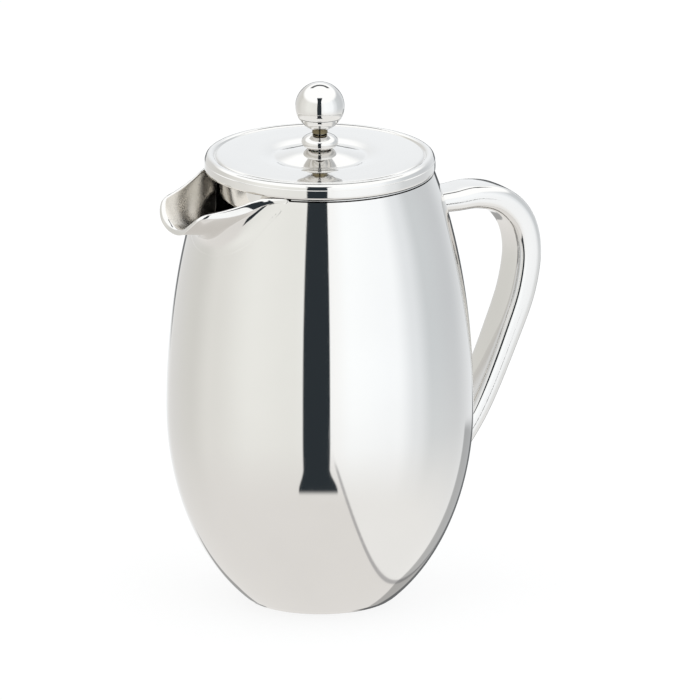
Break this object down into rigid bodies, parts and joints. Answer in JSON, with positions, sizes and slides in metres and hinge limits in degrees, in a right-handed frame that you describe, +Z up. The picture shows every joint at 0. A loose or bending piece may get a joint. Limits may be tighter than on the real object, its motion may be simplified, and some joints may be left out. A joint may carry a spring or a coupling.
{
  "type": "french press",
  "caption": "Barrel-shaped double-walled steel french press with an open spout, a loop handle, a flanged lid and a ball knob on its plunger.",
  "frame": {"origin": "centre of the flat underside, on the body's axis", "axes": "+Z up along the body and the plunger rod, -X towards the spout, +X towards the handle, +Y to the side"},
  "size_m": [0.1776, 0.13, 0.225],
  "materials": {
    "polished_steel": "mirror-polished stainless steel",
    "satin_steel": "fine circular satin",
    "rod_steel": "bright drawn stainless steel",
    "spring_steel": "drawn wire",
    "mesh_steel": "fine woven wire",
    "nylon": "natural nylon",
    "brass": "turned"
  },
  "bodies": {
    "pot": {"outer_shell": "polished_steel", "spout": "polished_steel", "handle": "polished_steel", "inner_liner": "satin_steel", "base_plate": "satin_steel"},
    "lid": {"lid_cover": "polished_steel", "lid_liner": "polished_steel", "lid_collar": "polished_steel", "guide_bush": "nylon", "bush_washer": "satin_steel", "bush_nut": "satin_steel"},
    "plunger": {"plunger_rod": "rod_steel", "stop_nut": "satin_steel", "spring_plate": "rod_steel", "edge_spring": "spring_steel", "mesh_filter": "mesh_steel"},
    "filter_clamp": {"cross_plate": "rod_steel", "hub_nut": "satin_steel"},
    "knob": {"knob_upper_shell": "polished_steel", "knob_lower_shell": "polished_steel", "knob_insert": "brass"}
  },
  "joints": [
    {"name": "lid_lift", "type": "slide", "parent": "pot", "child": "lid", "axis": [0, 0, 1], "range_m": [0, 0.175]},
    {"name": "plunger_slide", "type": "slide", "parent": "lid", "child": "plunger", "axis": [0, 0, 1], "range_m": [0, 0.135]},
    {"name": "filter_unscrew", "type": "hinge", "parent": "plunger", "child": "filter_clamp", "pos_m": [0, 0, 0.025], "axis": [0, 0, 1], "continuous": true},
    {"name": "knob_unscrew", "type": "hinge", "parent": "plunger", "child": "knob", "pos_m": [0, 0, 0.2146], "axis": [0, 0, 1], "continuous": true}
  ]
}
